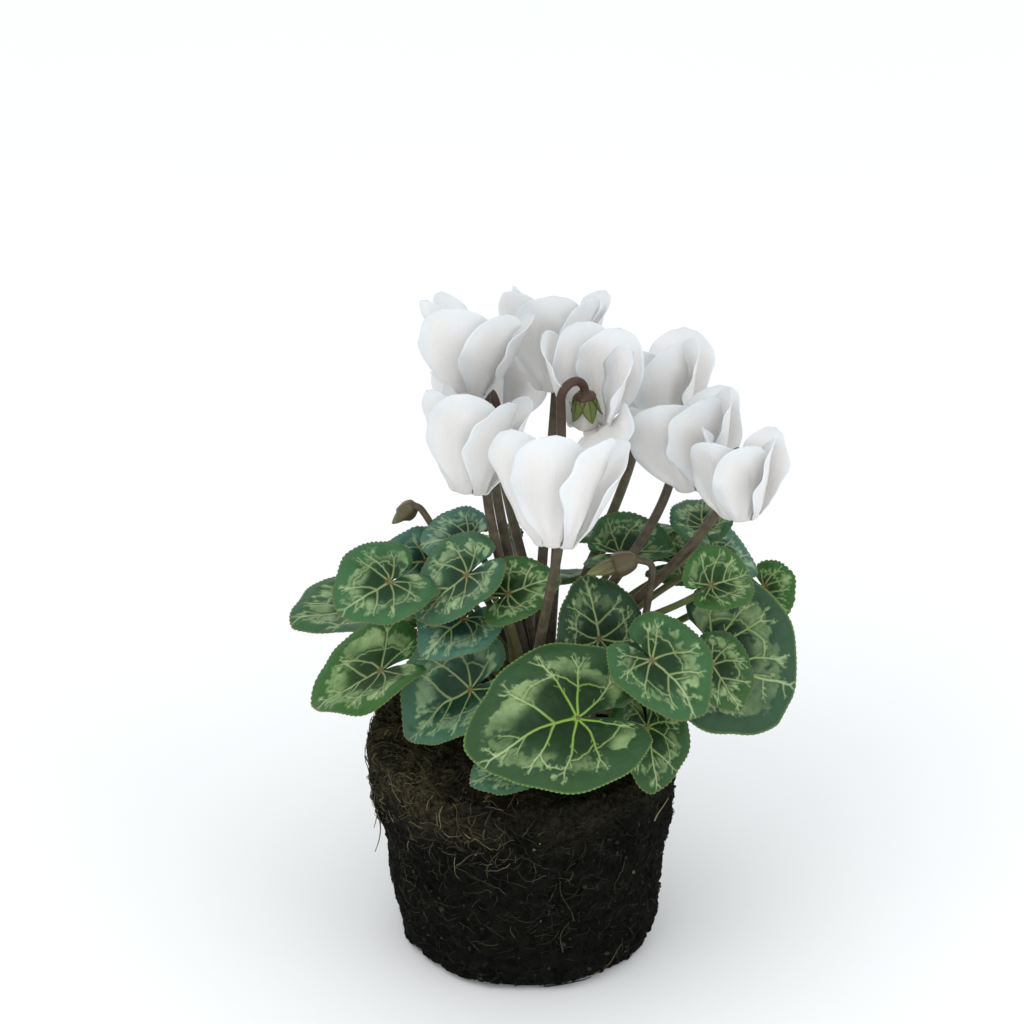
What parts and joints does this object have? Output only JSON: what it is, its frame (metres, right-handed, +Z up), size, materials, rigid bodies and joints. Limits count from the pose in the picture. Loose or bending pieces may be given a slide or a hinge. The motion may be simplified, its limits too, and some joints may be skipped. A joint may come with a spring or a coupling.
{
  "type": "cyclamen plant with bare root ball",
  "caption": "Flowering cyclamen lifted out of its pot: tapered root ball of peat, tuber, marbled heart-shaped leaves and white reflexed flowers on hooked stalks.",
  "frame": {"origin": "middle of the root ball's flat underside", "axes": "+Z up, along the root ball's axis; -Y is the front, the side that faces the picture's camera; +X to the right seen from the front"},
  "size_m": [0.16, 0.1561, 0.2117],
  "materials": {
    "peat": "moist dark peat matted with fine tan roots, rough",
    "tuber": "corky brown skin, matt",
    "leaf": "dark green marbled with pale silvery green, semi-matt, plain green below",
    "petal": "soft white with a faint cool tint at the margins, satin",
    "flower_stalk": "smooth brownish purple, green at the calyx, satin",
    "bud": "furled, greenish yellow shaded brown, satin"
  },
  "bodies": {
    "root": {"root_ball": "peat", "tuber": "tuber", "leaf_01": "leaf", "leaf_02": "leaf", "leaf_03": "leaf", "leaf_04": "leaf", "leaf_05": "leaf", "leaf_06": "leaf", "leaf_07": "leaf", "leaf_08": "leaf", "leaf_09": "leaf", "leaf_10": "leaf", "leaf_11": "leaf", "leaf_12": "leaf", "leaf_13": "leaf", "leaf_14": "leaf", "leaf_15": "leaf", "leaf_16": "leaf", "leaf_17": "leaf", "leaf_18": "leaf", "leaf_19": "leaf", "leaf_20": "leaf", "leaf_21": "leaf", "leaf_22": "leaf", "leaf_23": "leaf", "leaf_24": "leaf", "leaf_25": "leaf", "leaf_26": "leaf", "leaf_27": "leaf", "flower_01_corolla": "petal", "flower_01_stalk": "flower_stalk", "flower_02_corolla": "petal", "flower_02_stalk": "flower_stalk", "flower_03_corolla": "petal", "flower_03_stalk": "flower_stalk", "flower_04_corolla": "petal", "flower_04_stalk": "flower_stalk", "flower_05_corolla": "petal", "flower_05_stalk": "flower_stalk", "flower_06_corolla": "petal", "flower_06_stalk": "flower_stalk", "flower_07_corolla": "petal", "flower_07_stalk": "flower_stalk", "flower_08_corolla": "petal", "flower_08_stalk": "flower_stalk", "flower_09_corolla": "petal", "flower_09_stalk": "flower_stalk", "bud_01": "bud", "bud_01_stalk": "flower_stalk", "bud_02": "bud", "bud_02_stalk": "flower_stalk", "bud_03": "bud", "bud_03_stalk": "flower_stalk"}
  },
  "joints": []
}
